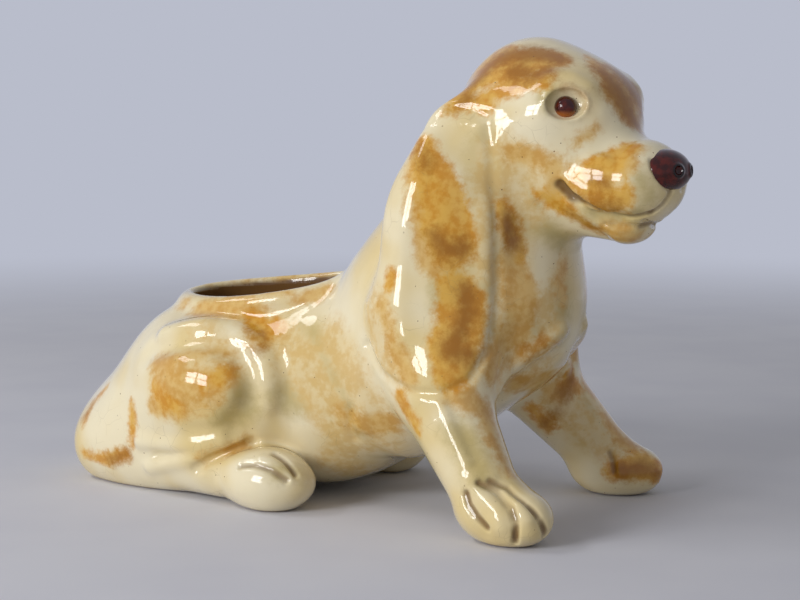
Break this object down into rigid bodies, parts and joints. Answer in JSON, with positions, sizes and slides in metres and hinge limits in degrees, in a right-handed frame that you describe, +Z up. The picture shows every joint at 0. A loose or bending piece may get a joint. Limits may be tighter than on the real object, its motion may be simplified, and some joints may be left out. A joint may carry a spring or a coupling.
{
  "type": "dog figure planter",
  "caption": "Hollow glazed earthenware planter in the form of a lying puppy with raised chest, hanging ears, splayed forelegs and an oval planting mouth in its back.",
  "frame": {"origin": "middle of the footprint on the surface it stands on", "axes": "+X from the rump towards the chest, +Y to the dog's left, +Z up"},
  "size_m": [0.2278, 0.1062, 0.1493],
  "materials": {
    "cream_glaze": "glossy, fine crazing, brushed amber patches",
    "honey_glaze": "glossy, amber brushwork over cream",
    "nose_glaze": "glossy, very dark red-brown",
    "eye_glaze": "glossy dark red-brown"
  },
  "bodies": {
    "root": {"body_pot": "cream_glaze", "head": "cream_glaze", "right_ear": "honey_glaze", "left_ear": "honey_glaze", "right_foreleg": "cream_glaze", "left_foreleg": "cream_glaze", "right_hind_paw": "cream_glaze", "left_hind_paw": "cream_glaze", "tail": "honey_glaze", "nose": "nose_glaze", "right_eye": "eye_glaze", "left_eye": "eye_glaze"}
  },
  "joints": []
}
